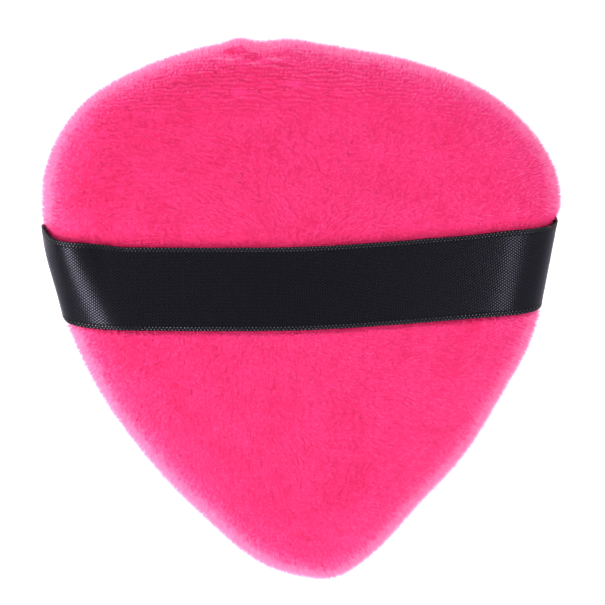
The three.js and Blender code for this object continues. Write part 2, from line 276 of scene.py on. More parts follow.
def ribbonStations():
    # Stations: middle points and half rulings from the left tail to the right one
    points = np.array(ribbon["lineShares"]) * halfSize
    fine = spline(points, np.linspace(0, 1, 2001), False)
    run = lengthAlong(fine)
    shares = np.linspace(0, 1, ribbon["topSteps"] + 1)
    middle = pointsAt(shares * run[-1], run, fine)
    along = unit(np.gradient(middle, axis=0))
    across = np.stack([-along[:, 1], along[:, 0]], 1)
    left, leftRulings, leftUp = ribbonEnd(-1, points[0])
    right, rightRulings, rightUp = ribbonEnd(1, points[-1])
    turn = np.clip((np.abs(2 * shares - 1) - ribbon["turnShare"]) / (1 - ribbon["turnShare"]), 0, 1)
    turn = smooth(turn)[:, None]
    towards = np.where(shares[:, None] < 0.5, leftUp, rightUp)
    across = unit(across * (1 - turn) + towards * turn)
    square = np.abs(along[:, 0] * across[:, 1] - along[:, 1] * across[:, 0])[:, None]
    height = topHeight(middle[:, 0], middle[:, 1]) - ribbon["sink"]
    top = np.column_stack([middle, height])
    topRulings = np.column_stack([across * ribbon["width"] / 2 / square, np.zeros(len(middle))])
    places = np.vstack([left[:0:-1], top, right[1:]])
    rulings = np.vstack([leftRulings[:0:-1], topRulings, rightRulings[1:]])
    # The bends in the plan where the parts meet are eased by a running mean
    half = ribbon["easeSteps"]
    weights = np.hanning(2 * half + 3)[1:-1] / np.hanning(2 * half + 3).sum()
    for line in (*places.T, *rulings[:, :2].T):
        padded = np.concatenate([2 * line[0] - line[half:0:-1], line,
                                 2 * line[-1] - line[-2:-half - 2:-1]])
        line[:] = np.convolve(padded, weights, "valid")
    return places, rulings


ribbonMiddles, ribbonRulings = ribbonStations()


def besideRibbon(points):
    # How a place lies to the ribbon: its distance outside the nearer edge (negative inside),
    # its distance from the ribbon's plane, and the direction away from the middle line
    every, farOff, atOnce = 6, 50.0, 20000
    middles = ribbonMiddles[::every].astype(np.float32)
    rulings = ribbonRulings[::every].astype(np.float32)
    halves = np.linalg.norm(rulings, axis=1)
    directions = rulings / halves[:, None]
    outside, apart = np.full((2, len(points)), farOff)
    away = np.zeros((len(points), 3))
    lowest, highest = ribbon["pressStretch"]
    near = np.flatnonzero((points[:, 1] > lowest) & (points[:, 1] < highest))
    for chunk in np.array_split(near, max(1, len(near) // atOnce)):
        offset = points[chunk, None].astype(np.float32) - middles
        across = np.einsum("ijk,jk->ij", offset, directions)
        rest = np.linalg.norm(offset - across[:, :, None] * directions, axis=2)
        best = np.argmin(rest, axis=1)
        row = np.arange(len(chunk))
        outside[chunk] = np.abs(across[row, best]) - halves[best]
        apart[chunk] = rest[row, best]
        away[chunk] = directions[best] * np.sign(across[row, best])[:, None]
    return outside, apart, away


# Meshes

def meshFrom(name, vertices, faces, smooth=True):
    # Mesh: vertices in millimetres, faces as one array with a fixed number of corners
    mesh = bpy.data.meshes.new(name)
    corners = faces.shape[1]
    mesh.vertices.add(len(vertices))
    mesh.vertices.foreach_set("co", (vertices * mm).astype(np.float32).ravel())
    mesh.loops.add(faces.size)
    mesh.loops.foreach_set("vertex_index", faces.astype(np.int32).ravel())
    mesh.polygons.add(len(faces))
    mesh.polygons.foreach_set("loop_start", np.arange(0, faces.size, corners, dtype=np.int32))
    mesh.polygons.foreach_set("use_smooth", np.full(len(faces), smooth))
    mesh.update(calc_edges=True)
    piece = bpy.data.objects.new(name, mesh)
    bpy.context.collection.objects.link(piece)
    return piece


def halved(quads):
    # Two triangles for each quad: all the first halves, then all the second ones
    return np.vstack([quads[:, [0, 1, 2]], quads[:, [0, 2, 3]]])


def closedRows(rows, columns):
    # Faces between rows of points, where each row closes on itself
    row, column = np.meshgrid(np.arange(rows - 1), np.arange(columns), indexing="ij")
    after = (column + 1) % columns
    quads = np.stack([row * columns + column, (row + 1) * columns + column,
                      (row + 1) * columns + after, row * columns + after], -1)
    return row, column, halved(quads.reshape(-1, 4))


def writeAttribute(piece, name, values):
    attribute = piece.data.attributes.new(name, "FLOAT", "POINT")
    attribute.data.foreach_set("value", values.astype(np.float32).ravel())


def writeMap(piece, uv, name="OFBake"):
    # uv: one place for each corner, in the order of the faces
    layer = piece.data.uv_layers.new(name=name)
    layer.data.foreach_set("uv", uv.astype(np.float32).ravel())


def finishPiece(piece, material, slot, *nodes):
    piece.data.materials.append(material)
    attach(piece, "root")
    if nodes:
        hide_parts(*nodes)


# Materials

def feed(tree, sockets, values):
    # Each socket gets a plain value or another node's output
    for socket, value in zip(sockets, values):
        if hasattr(value, "links"):
            tree.links.new(value, socket)
        else:
            socket.default_value = value


def setSockets(tree, made, **values):
    feed(tree, [made.inputs[name.replace("_", " ")] for name in values], values.values())


def newMaterial(name, **values):
    # A material whose plain values are set straight on the shader's own sockets
    material = bpy.data.materials.new(name)
    material.use_nodes = True
    shader = material.node_tree.nodes["Principled BSDF"]
    setSockets(material.node_tree, shader, **values)
    return material, material.node_tree, shader


def node(tree, kind, **values):
    made = tree.nodes.new(kind)
    setSockets(tree, made, **values)
    return made


def calculate(tree, operation, *values):
    made = tree.nodes.new("ShaderNodeMath")
    made.operation = operation
    feed(tree, made.inputs, values)
    return made.outputs[0]


def mixColours(tree, factor, low, high):
    # Mix node: low where the factor is 0, high where it is 1
    mix = tree.nodes.new("ShaderNodeMix")
    mix.data_type = "RGBA"
    feed(tree, [mix.inputs[index] for index in (0, 6, 7)], (factor, low, high))
    return mix.outputs[2]


def makeMottleGroup():
    # Mottle: soft patches of light and dark in Object coordinates, from 0 to 1
    group = bpy.data.node_groups.new("mottle", "ShaderNodeTree")
    for name, way in (("Size", "INPUT"), ("Patches", "OUTPUT")):
        group.interface.new_socket(name=name, in_out=way, socket_type="NodeSocketFloat")
    inlet = group.nodes.new("NodeGroupInput")
    outlet = group.nodes.new("NodeGroupOutput")
    place = group.nodes.new("ShaderNodeTexCoord")
    noise = node(group, "ShaderNodeTexNoise", Vector=place.outputs["Object"],
                 Scale=inlet.outputs["Size"], Detail=2.5, Roughness=0.55)
    ramp = node(group, "ShaderNodeMapRange", Value=noise.outputs["Fac"], From_Min=0.32,
                From_Max=0.68)
    setSockets(group, outlet, Patches=ramp.outputs["Result"])
    return group


mottleGroup = makeMottleGroup()


def mottle(tree, size):
    patches = tree.nodes.new("ShaderNodeGroup")
    patches.node_tree = mottleGroup
    setSockets(tree, patches, Size=size)
    return patches.outputs["Patches"]


velour = {
    "bodyColour": (0.8, 0.0262, 0.191, 1),
    "lightColour": (0.83, 0.0365, 0.225, 1),
    # The root colour stands for painted shade deep in the pile
    "deepShadeColour": (0.75, 0.0165, 0.115, 1),
    "frostAndSheenColour": (0.95, 0.335, 0.575, 1),      # light fibre tips, and the painted sheen where the pile turns to the side
    "patchSize": 190.0,
    "roughness": 0.6,
    "specular": 0.25,
    "sheen": 0.6,
    "sheenRoughness": 0.42,
    "sheenTint": (0.8, 0.5, 0.86, 1),
}


def makeVelour():
    # Along a fibre the attribute runs from 0 at the root over 1 at the body to 2 at the tip
    # Below 1 the colour turns to painted shade, above 1 to light tips and painted sheen
    material, tree, shader = newMaterial(
        "velourPile", Roughness=velour["roughness"], Sheen_Weight=velour["sheen"],
        Sheen_Roughness=velour["sheenRoughness"], Sheen_Tint=velour["sheenTint"],
        Specular_IOR_Level=velour["specular"])
    shade = tree.nodes.new("ShaderNodeAttribute")
    shade.attribute_name = "pileShade"
    toBody, toTip = (node(tree, "ShaderNodeMapRange", Value=shade.outputs["Fac"], From_Min=low,
                          From_Max=low + 1.0).outputs["Result"] for low in (0.0, 1.0))
    patches = mottle(tree, velour["patchSize"])
    body = mixColours(tree, patches, velour["bodyColour"], velour["lightColour"])
    colour = mixColours(tree, toBody, velour["deepShadeColour"], body)
    colour = mixColours(tree, toTip, colour, velour["frostAndSheenColour"])
    setSockets(tree, shader, Base_Color=colour)
    return material


velourMaterial = makeVelour()


# Velour skins: the knitted ground with the matted lower part of the pile

pile = {
    "backCount": 240000,
    "faceCount": 110000,
    "perPiece": 48000,
    "rootDepth": 1.1,
    "rootRadius": 0.085,
    "gather": 0.6,               # how far a tip leans to the middle line of its stroke
    "nap": 0.18,                 # how far a tip leans along its stroke
    "fall": (0.0, -0.1),         # all tips lean a little to the narrow end
    "scatter": 0.07,
    "fuzzScatter": 0.22,         # how much more the thin fibres stray
    "unevenness": 0.08,
    "tuftRise": 0.07,
    "inset": 0.26,               # how far the even tips lie inside the form
    "rimReach": 0.22,            # how much further out they are at the rim
    "fuzzShare": (0.27, 0.55),   # share of thin fibres that stand out further: top and rim
    "fuzzLength": 0.28,
    "fuzzLimit": 1.2,
    "fuzzRadius": 0.3,
    "paintedSheenFrom": 0.92,           # painted sheen: the pile is painted lighter as it turns to the side: the upright parts of its normal where that begins and is full
    "paintedSheenTo": 0.63,             # parts of its normal where that begins and is full
    "paintedSheenLean": (-0.055, 0.012),      # on sides that face this way, to the left where most light falls, it begins sooner, and on sides that face this way it is stronger, as painted sheen
    "paintedSheenSide": (-0.13, -0.07),       # and on sides that face this way it is stronger
    "bodyPaintedSheen": 0.68,
    "tipPaintedSheen": 0.28,
    "bodyShade": (0.84, 0.22, 0.07, 0.42),       # a fibre's painted shade: the even part, then how much the relief's painted shade, chance and the ribbon's painted shadow change it
    "tipShade": (1.12, 0.24, 0.08, 0.62),        # relief, chance and the ribbon's press change it
    "partings": (1.6, 0.15, -2.3),     # their extra painted shade, the rise below which it sets in, the limit
    "calm": 0.7,                 # how much of the relief's shading is left at the narrow end
    "calmStretch": (-14, 8),     # and the stretch of the length where it comes back
    "ridge": 0.26,               # how round a stroke's shading is, side to side
    "sideShare": 0.14,           # how much of a fibre's own side shows in its shading
    "flatten": 0.8,              # how much flatter than the form the pile is shaded
    # how far the ribbon presses the pile and paints its shadow, above and below it
    "pressAndShadeAbove": 1.4,
    "pressAndShadeBelow": 0.45,
    # the pocket: a hollow under the curled corner, with painted shadow in it
    "shadedPocket": {"middle": (-38.6, 11.5), "reach": (2.2, 1.5), "depth": 0.55},
}
strokes = {
    "size": (0.8, 0.34, 0.5),    # a stroke's length, width and height
    "rowPitch": 0.71,            # near the wide end they join into long wavy rows
    "rowWave": 1.3,
    "rowFall": 0.5,
    "rowContrast": 1.35,         # how much stronger the rows are shaded
    "directions": 8,             # directions into which the strokes are sorted
    "swirl": 7.0,                # size of the swirls that the pile was brushed into
    "turns": (0.4, 0.45),        # how far they turn over the noise, before and after
    "turnStretch": (-10, 22),    # this stretch of the length
    "tremble": 1.6,              # how far a stroke's direction may stray, in directions
    "rowsFrom": 28.0,            # rows fade in over this stretch of the length
    "rowsTo": 35.5,
    "rowsAbove": 2.0,            # and over this height beside the seam
    "rowsFade": 1.6,
}
skin = {
    "depth": 0.95,               # how far the skin lies under the tips of the pile
    "relief": 0.12,              # how far strokes raise it and partings lower it
    "pressDepth": 0.6,           # how much deeper it lies under the ribbon
    "wall": 0.75,
    "edgeGap": 0.12,             # how far its edge stays from the crease
    "floorGap": 0.25,            # how far it stays from the table and from its own lining
    "allowance": 0.6,            # how far the lining stays from the edge
    "liningRings": 10,
    "shade": (0.6, 0.25, 0.5),   # painted shade: the even part, darker than the fibres, then how much relief and the ribbon's painted shadow change it
    "paintedSheenGain": 1.3,
}


def rowShare(points):
    # Share of row pattern: from none at the middle to all near the wide end, broken by noise.
    # The walls near the seam have none, as the lines would run round like height lines there.
    rise = np.clip((points[..., 1] - strokes["rowsFrom"])
                   / (strokes["rowsTo"] - strokes["rowsFrom"]), 0, 1)
    high = np.clip((np.abs(points[..., 2] - form["seamHeight"]) - strokes["rowsAbove"])
                   / strokes["rowsFade"], 0, 1)
    return np.clip(rise * 1.3 * (0.5 + softNoise(points, (9, 5, 9), 71)), 0, 1) * high


def pileRows(points, share):
    # Rows: cos((y - fall) / pitch), shaken by a noise, fading in and out along their length.
    # The fall, a share of the height over the seam, keeps them level round the roll.
    shake = softNoise(points, (2.4, 1.3, 2.4), 83) + 0.45 * softNoise(points, (0.8, 0.6, 0.8), 89)
    fall = np.abs(points[:, 2] - form["seamHeight"]) * strokes["rowFall"]
    phase = (points[:, 1] - fall) / strokes["rowPitch"] + strokes["rowWave"] * shake
    off = phase - np.round(phase)
    fading = 0.55 + 0.9 * softNoise(points, (2.4, 0.6, 2.4), 97)
    strength = strokes["rowContrast"] * share * fading
    return -off * strokes["rowPitch"] * 0.6, np.cos(2 * np.pi * off) * strength


def pileField(points):
    # Pile: strokes are drawn-out tufts, sorted into directions by a slow noise. For each
    # place: the way to its stroke's middle line, the direction along the stroke, and the rise
    # from -1 between strokes to 1 at their middles. Rows take their place near the wide end.
    flat = points.reshape(-1, 3)
    spots = len(flat)
    count = strokes["directions"]
    swirl = softNoise(flat, strokes["swirl"], 41) + 0.35 * softNoise(flat, strokes["swirl"] / 3, 43)
    tremble = (softNoise(flat, 0.8, 47) - 0.5) * 2 * strokes["tremble"]
    turns = np.interp(flat[:, 1], strokes["turnStretch"], strokes["turns"])
    heading = (swirl - 0.675) * turns * 2 * count + tremble
    sector = np.mod(np.round(heading).astype(int), 2 * count)
    sideways = np.zeros((spots, 3))
    forward = np.zeros((spots, 3))
    rise = np.zeros(spots)
    for turn in range(2 * count):
        chosen = np.flatnonzero(sector == turn)
        if not len(chosen):
            continue
        angle = math.pi * turn / count
        along = np.array([math.cos(angle), math.sin(angle), 0.0])
        across = np.array([-math.sin(angle), math.cos(angle), 0.0])
        place = flat[chosen]
        turned = np.stack([place @ along, place @ across, place[:, 2]], 1)
        centre, spread = tufts(turned, np.array(strokes["size"]), 11 + turn % count)
        sideways[chosen] = (centre - turned)[:, 1:2] * across
        forward[chosen] = along
        rise[chosen] = 1 - 2 * np.clip(spread / 0.75, 0, 1) ** 2
    share = rowShare(flat)
    chosen = np.flatnonzero(share > 0)
    share = share[chosen]
    rowOff, rowRise = pileRows(flat[chosen], share)
    sideways[chosen] *= (1 - share)[:, None]
    sideways[chosen, 1] += rowOff * share
    rise[chosen] = rise[chosen] * (1 - 0.6 * share) + rowRise
    shape = points.shape[:-1]
    return sideways.reshape(*shape, 3), forward.reshape(*shape, 3), rise.reshape(shape)


def paintedSheenShare(normal):
    # Painted sheen: from none where the pile faces up or down to 1 on the steep part of the roll,
    # sooner and stronger on sides facing the main light.
    # Share = side (begin - |z|) / (begin - end), the fraction held within 0 and 1, where z is
    # the upright part of the normal and side is near 1.
    begin = pile["paintedSheenFrom"] + normal[..., :2] @ np.array(pile["paintedSheenLean"])
    side = 1 + normal[..., :2] @ np.array(pile["paintedSheenSide"])
    return np.clip((begin - np.abs(normal[..., 2])) / (begin - pile["paintedSheenTo"]), 0, 1) * side


# Marks of the gap at the wide end, closed by hand: middle, reach each way and height
gapMarks = [
    (-9.6, 41.0, 1.9, 2.0, 0.5), (-10.6, 39.2, 1.5, 0.8, -0.4), (-5.6, 41.0, 1.7, 2.0, -0.2),
    (-1.2, 41.0, 2.6, 2.0, 0.2), (-3.2, 38.9, 1.6, 0.35, -0.15), (-7.0, 38.2, 1.2, 0.5, -0.2),
]


def edgeMarks(points):
    # How far the marks push the form out. Each is a bell curve:
    # out = height exp(-(dx / a)^2 - (dy / b)^2).
    total = np.zeros(points.shape[:-1])
    for x, y, a, b, height in gapMarks:
        total += height * np.exp(-((points[..., 0] - x) / a) ** 2 - ((points[..., 1] - y) / b) ** 2)
    return total


def ribbonPressAndShadow(points, panel):
    # Press: how much the ribbon pushes the back's pile down and paints its shadow on it, from 1 under
    # it to none further out, exp(-(outside / width)^2), wider on the side of the wide end, where its
    # painted shadow falls.
    # The pocket is the hollow that it leaves in the pile under its curled corner, painted dark as
    # shadow.
    if panel["side"] < 0:
        return np.zeros(len(points)), np.zeros((len(points), 3)), np.zeros(len(points), bool)
    outside, apart, away = besideRibbon(points)
    width = np.where(away[:, 1] > 0, pile["pressAndShadeAbove"], pile["pressAndShadeBelow"])
    pressShade = np.where(apart < 3.5, np.exp(-(np.maximum(outside, 0) / width) ** 2), 0.0)
    shadedPocket = pile["shadedPocket"]
    offset = (points[:, :2] - shadedPocket["middle"]) / shadedPocket["reach"]
    hollow = shadedPocket["depth"] * np.exp(-np.sum(offset**2, axis=1))
    return np.maximum(pressShade, hollow), away, (outside < 0.05) & (apart < 2.5)


def dressedGrid(panel):
    grid = panelGrid(panel)
    normals = gridNormals(grid, panel["side"])
    marks = edgeMarks(grid) * (0.6 if panel["side"] < 0 else 1.0)
    grid = grid + normals * marks[..., None]
    return grid, gridNormals(grid, panel["side"])


def makeSkin(name, panel, grid, normals, nodeName):
    # Skin: the form set in by the depth, raised and lowered by the tufts, then the allowance
    # turned in at the seam and the lining a wall inside it
    side = panel["side"]
    rise = pileField(grid)[2]
    pressedAndShaded = ribbonPressAndShadow(grid.reshape(-1, 3), panel)[0].reshape(grid.shape[:2])
    depth = skin["depth"] - skin["relief"] * rise + skin["pressDepth"] * pressedAndShaded
    outer = grid - normals * depth[..., None]
    outer[..., 2] = np.maximum(outer[..., 2], skin["floorGap"])
    seam = form["seamHeight"] + side * (form["creaseOverSeam"] + skin["edgeGap"])
    outer[-1, :, 2] = seam
    picks = np.linspace(len(grid) - 1, 0, skin["liningRings"] + 1).astype(int)
    inner = grid[picks] - normals[picks] * (skin["depth"] + skin["wall"] + skin["floorGap"])
    lowest = side * (seam + side * skin["allowance"])
    inner[..., 2] = side * np.maximum(side * inner[..., 2], lowest)
    rings = np.concatenate([outer[1:], inner[:-1]])
    count, columns = rings.shape[:2]
    vertices = np.vstack([rings.reshape(-1, 3), outer[0, :1], inner[-1, :1]])
    column = np.arange(columns)
    after = (column + 1) % columns
    last = (count - 1) * columns
    poles = np.vstack([
        np.stack([np.full(columns, len(vertices) - 2), column, after], 1),
        np.stack([np.full(columns, len(vertices) - 1), last + after, last + column], 1)])
    triangles = np.vstack([closedRows(count, columns)[2], poles])
    if side < 0:
        triangles = triangles[:, ::-1]
    piece = meshFrom(name, vertices, triangles)
    shade = np.zeros(len(vertices))
    even, relief, pressShade = skin["shade"]
    # Painted shade: the skin is darker than the fibres, and darker in partings and in the ribbon's
    # painted shadow
    outerShade = even + relief * rise - pressShade * pressedAndShaded
    # Painted sheen lightens the skin where the roll turns to the side
    paintedSheen = skin["paintedSheenGain"] * pile["bodyPaintedSheen"] * paintedSheenShare(normals)
    outerShade += paintedSheen * (1 - pressedAndShaded) * (1 + 0.2 * rise)
    outerCount = (len(outer) - 1) * columns
    shade[:outerCount] = outerShade[1:].ravel()
    shade[-2] = even
    writeAttribute(piece, "pileShade", shade)
    # Map: the outer side is a large disc and the lining a small one, radius = rings from the
    # pole. Faces of the turned-in edge lie round the lining's disc.
    turn = 2 * np.pi * (np.arange(len(vertices)) % columns) / columns
    circle = np.stack([np.cos(turn), np.sin(turn)], 1)
    level = np.arange(len(vertices)) // columns
    outward = np.clip((level + 1) / (len(outer) - 1), 0, 1)
    inward = np.clip((count - level) / len(inner), 0, 1.1)
    outward[-2:] = inward[-2:] = 0
    outerPlace = 0.36 + 0.35 * circle * outward[:, None]
    innerPlace = 0.86 + 0.12 * circle * inward[:, None]
    lining = (triangles >= outerCount).any(1) & (triangles != len(vertices) - 2).all(1)
    writeMap(piece, np.where(lining[:, None, None], innerPlace[triangles], outerPlace[triangles]))
    finishPiece(piece, velourMaterial, "velour", nodeName)
    print("skin:", name, len(triangles), "triangles")


backGrid, backNormals = dressedGrid(backPanel)
faceGrid, faceNormals = dressedGrid(facePanel)
makeSkin("velour_back", backPanel, backGrid, backNormals, "back_cover")
makeSkin("velour_face", facePanel, faceGrid, faceNormals, "face_cover")


# Pile: short fibres, each a three-sided spike from the skin to the tips

def scatter(grid, normals, count, rng):
    # Scatter: the surface's area is cut into equal shares, one for each root, and a root lies
    # at a random place in the quad where its share falls
    a, b = grid[:-1], grid[1:]
    c, d = np.roll(grid, -1, 1)[1:], np.roll(grid, -1, 1)[:-1]
    area = np.linalg.norm(np.cross(c - a, b - d), axis=2) / 2
    total = np.concatenate([[0.0], np.cumsum(area.T.ravel())])
    shares = (np.arange(count) + rng.random(count)) / count * total[-1]
    quad = np.clip(np.searchsorted(total, shares) - 1, 0, area.size - 1)
    column, ring = np.divmod(quad, len(grid) - 1)
    after = (column + 1) % grid.shape[1]
    s, t = rng.random((2, count, 1))

    def blend(values):
        return ((values[ring, column] * (1 - s) + values[ring, after] * s) * (1 - t)
                + (values[ring + 1, column] * (1 - s) + values[ring + 1, after] * s) * t)

    return blend(grid), unit(blend(normals))


def makePile(name, panel, grid, normals, count, seed):
    rng = np.random.default_rng(seed)
    tipSurface, normal = scatter(grid, normals, count, rng)
    pressedAndShaded, away, covered = ribbonPressAndShadow(tipSurface, panel)
    keep = ~(covered & (rng.random(count) < 0.7))
    tipSurface, normal, pressedAndShaded, away, covered = (
        values[keep] for values in (tipSurface, normal, pressedAndShaded, away, covered))
    count = len(tipSurface)
    sideways, forward, rise = pileField(tipSurface)
    lean = np.array([*pile["fall"], 0.0]) + forward * pile["nap"] + sideways * pile["gather"]
    lean -= normal * np.sum(lean * normal, axis=1, keepdims=True)
    atRim = np.clip(1 - np.abs(normal[:, 2]) * 1.6, 0, 1)
    lean *= (1 - 0.75 * atRim)[:, None]
    # Painted sheen: the pile is painted lighter where it turns to the side
    paintedSheen = paintedSheenShare(normal) * (1 - pressedAndShaded)
    fuzzy = rng.random(count) < np.interp(paintedSheen, (0, 1), pile["fuzzShare"])
    stray = pile["scatter"] + pile["fuzzScatter"] * fuzzy
    lean += away * (0.25 * pressedAndShaded)[:, None] + rng.normal(size=(count, 3)) * stray[:, None]
    length = pile["unevenness"] * rng.normal(size=count) + pile["tuftRise"] * rise - pile["inset"]
    fuzz = np.minimum(rng.exponential(pile["fuzzLength"], count), pile["fuzzLimit"])
    length += np.where(fuzzy, fuzz * (1 + 0.4 * atRim), 0) - 0.8 * pressedAndShaded
    length += pile["rimReach"] * atRim
    root = tipSurface - normal * (pile["rootDepth"] + 0.4 * pressedAndShaded)[:, None]
    tip = tipSurface + normal * length[:, None] + lean
    tip = np.where(covered[:, None], tipSurface - normal * 0.85, tip)
    tip[:, 2] = np.maximum(tip[:, 2], 0.12 + 0.2 * rng.random(count))
    root[:, 2] = np.maximum(root[:, 2], 0.3)
    axis = unit(tip - root)
    spin = rng.random(count) * 2 * np.pi
    side = unit(np.cross(axis, np.where(np.abs(axis[:, 2:]) > 0.9, [1.0, 0, 0], up)))
    other = np.cross(axis, side)
    radius = pile["rootRadius"] * (0.75 + 0.5 * rng.random(count))
    radius = np.where(fuzzy, radius * pile["fuzzRadius"], radius)[:, None]
    angles = spin[:, None] + np.array([0, 2, 4]) * np.pi / 3
    radial = (side[:, None] * np.cos(angles)[..., None]
              + other[:, None] * np.sin(angles)[..., None])
    base = root[:, None] + radial * radius[:, None]
    vertices = np.concatenate([base, tip[:, None]], axis=1)
    flatter = pile["flatten"] * np.clip(0.5 + 2.5 * panel["side"] * normal[:, 2:], 0, 1)
    ridge = unit(normal + up * panel["side"] * flatter)
    ridge -= sideways * (pile["ridge"] / strokes["size"][1] * 2)
    own = np.concatenate([radial, axis[:, None]], 1) * pile["sideShare"]
    shading = unit(unit(ridge)[:, None] * (1 - pile["sideShare"]) + own)
    # Partings are shaded deeper than strokes are raised
    extra, below, deepest = pile["partings"]
    tone = np.maximum(rise + extra * np.minimum(rise + below, 0), deepest)
    tone *= (1 - 0.6 * paintedSheen) * np.interp(tipSurface[:, 1], pile["calmStretch"], (pile["calm"], 1))
    paintedSheenWithRelief = paintedSheen * np.clip(1 + 0.14 * rise, 0.7, 1.2)
    # Painted shade: partings, rows and the ribbon's painted shadow darken a fibre
    bodyShade, tipShade = (
        even + relief * tone + chance * rng.normal(size=count) - pressShade * pressedAndShaded
        for even, relief, chance, pressShade in (pile["bodyShade"], pile["tipShade"]))
    # Painted sheen on the roll, and a painted glow at the very rim
    bodyShade += pile["bodyPaintedSheen"] * paintedSheenWithRelief
    tipShade = np.minimum(tipShade, 1.2)
    tipShade -= 0.45 * fuzzy * (1 - paintedSheen)
    tipShade += pile["tipPaintedSheen"] * paintedSheenWithRelief + 0.6 * atRim
    shade = np.clip(np.stack([bodyShade] * 3 + [tipShade], 1), 0, 2)
    spike = np.array([[0, 1, 3], [1, 2, 3], [2, 0, 3], [0, 2, 1]])
    inCell = np.array([(0.1, 0.12), (0.5, 0.02), (0.9, 0.12), (0.5, 0.95)])
    parts = np.array_split(np.arange(count), -(-count // pile["perPiece"]))
    for index, part in enumerate(parts):
        number = len(part)
        faces = (4 * np.arange(number)[:, None, None] + spike).reshape(-1, 3)
        piece = meshFrom(f"{name}_{index + 1}", vertices[part].reshape(-1, 3), faces)
        piece.data.normals_split_custom_set_from_vertices(shading[part].reshape(-1, 3))
        writeAttribute(piece, "pileShade", shade[part].ravel())
        cells = math.ceil(math.sqrt(number))
        row, column = np.divmod(np.arange(number), cells)
        uv = (np.stack([column, row], 1)[:, None] + inCell) / cells
        writeMap(piece, uv.reshape(-1, 2)[faces])
        finishPiece(piece, velourMaterial, "velour")
    print("pile:", name, count, "fibres in", len(parts), "pieces")


makePile("pile_back", backPanel, backGrid, backNormals, pile["backCount"], 5)
makePile("pile_face", facePanel, faceGrid, faceNormals, pile["faceCount"], 6)


# Ribbon mesh

satin = {
    "acrossSteps": 64,
    "underSteps": 8,
    "mapStrips": 4,
    "selvedge": 0.85,            # width of each woven edge
    "dotPitch": 0.54,
    "dotRows": ((0.2, 0.0), (0.53, math.pi)),    # each row's distance from the edge and phase
    "dotWidth": 0.17,
    "dotHeight": 0.05,
    "floatPitch": (0.7, 0.42),   # sateen: a staggered net of floats, along and across
    "floatHeight": 0.000019,
    "gapColour": (0.002, 0.0018, 0.003, 1),
    "floatColour": (0.0214, 0.0205, 0.0272, 1),
    "dotColour": (0.08, 0.078, 0.09, 1),
    "roughness": (0.42, 0.165),  # between the floats and on them
    "specular": 0.08,
    "cornerIn": 0.32,            # how far the upper left corner is drawn in at the rim
    "cornerRise": 1.5,           # and how far it has slipped to the wide end
    "cornerHeight": 3.4,         # its height over the seam, and how far up and down it reaches
    "cornerReach": 2.0,
    "twist": 0.58,               # how far the left shoulder is turned up at its upper edge
    "twistFrom": -28.5,          # where the twist begins, peaks and ends
    "twistPeak": -35.0,
    "twistTo": -39.6,
}
mapScale = 0.01                  # the ribbon's map has 1 mm as this length


def makeRibbonMaterial():
    material, tree, shader = newMaterial(
        "satinRibbon", Specular_IOR_Level=satin["specular"], Specular_Tint=(0.85, 0.85, 1.0, 1))
    place = tree.nodes.new("ShaderNodeUVMap")
    place.uv_map = "ribbonPlace"
    parts = node(tree, "ShaderNodeSeparateXYZ", Vector=place.outputs["UV"])
    along, across = (calculate(tree, "DIVIDE", parts.outputs[axis], mapScale) for axis in (0, 1))
    fromEdge = calculate(tree, "SUBTRACT", ribbon["width"] / 2, calculate(tree, "ABSOLUTE", across))
    # Selvedge dots: cos(along) less the square of the distance from the row's line
    dots = 0.0
    for line, phase in satin["dotRows"]:
        turn = calculate(tree, "MULTIPLY_ADD", along, 2 * math.pi / satin["dotPitch"], phase)
        off = calculate(tree, "SUBTRACT", fromEdge, line)
        off = calculate(tree, "DIVIDE", off, satin["dotWidth"])
        dot = calculate(tree, "SUBTRACT", calculate(tree, "COSINE", turn),
                        calculate(tree, "MULTIPLY", off, off))
        dots = calculate(tree, "MAXIMUM", dot, dots)
    # Sateen: rows of floats, each half a float on from the next one, inside the woven edges.
    # Height = cos x times the row's sign, and the sign is cos y, steepened and cut off.
    wave, row = (calculate(tree, "COSINE", calculate(tree, "MULTIPLY", side, 2 * math.pi / pitch))
                 for side, pitch in zip((along, across), satin["floatPitch"]))
    row = calculate(tree, "MINIMUM", 1.0, calculate(tree, "MULTIPLY", row, 3.0))
    row = calculate(tree, "MAXIMUM", -1.0, row)
    net = calculate(tree, "MULTIPLY", wave, row)
    inner = calculate(tree, "GREATER_THAN", fromEdge, satin["selvedge"])
    floats = calculate(tree, "MULTIPLY", calculate(tree, "MULTIPLY_ADD", net, 0.5, 0.5), inner)
    tops = calculate(tree, "MAXIMUM", floats, dots)
    # The floats shine like smooth filament: Metallic makes their colour the one they reflect
    shine = node(tree, "ShaderNodeMapRange", Value=tops, From_Min=0.3, From_Max=0.78)
    shine = shine.outputs["Result"]
    threads = mixColours(tree, dots, satin["floatColour"], satin["dotColour"])
    colour = mixColours(tree, shine, satin["gapColour"], threads)
    dull, glossy = satin["roughness"]
    bump = node(tree, "ShaderNodeBump", Strength=1.0, Distance=satin["floatHeight"], Height=tops)
    setSockets(tree, shader, Base_Color=colour, Metallic=shine, Normal=bump.outputs["Normal"],
               Roughness=calculate(tree, "MULTIPLY_ADD", shine, glossy - dull, dull))
    return material


